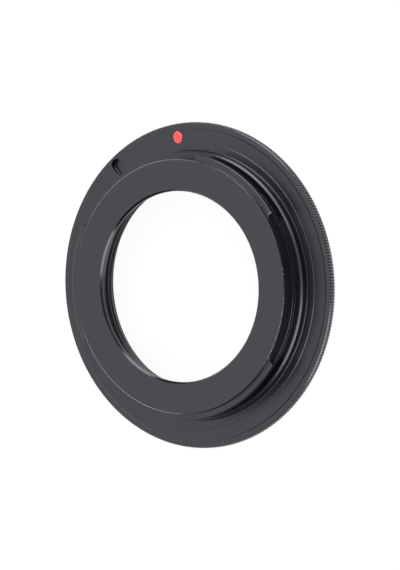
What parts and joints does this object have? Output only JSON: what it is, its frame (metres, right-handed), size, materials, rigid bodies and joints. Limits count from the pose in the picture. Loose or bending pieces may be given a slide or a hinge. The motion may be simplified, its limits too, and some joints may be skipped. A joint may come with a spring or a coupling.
{
  "type": "lens mount adapter",
  "caption": "Flat black adapter ring: a fine screw thread takes the lens, and a collar with bayonet lugs turns into a camera's mount. Knurled rim, red index dot and lock pin slot.",
  "frame": {"origin": "centre of the lens seat, the flat back face that the ring lies on", "axes": "+Z along the ring's axis from the lens towards the camera, +Y towards the red index dot"},
  "size_m": [0.065, 0.065, 0.0073],
  "materials": {
    "black_anodised": "satin black anodised",
    "red_enamel": "gloss red enamel"
  },
  "bodies": {
    "root": {"adapter_ring": "black_anodised", "index_dot": "red_enamel"}
  },
  "joints": []
}
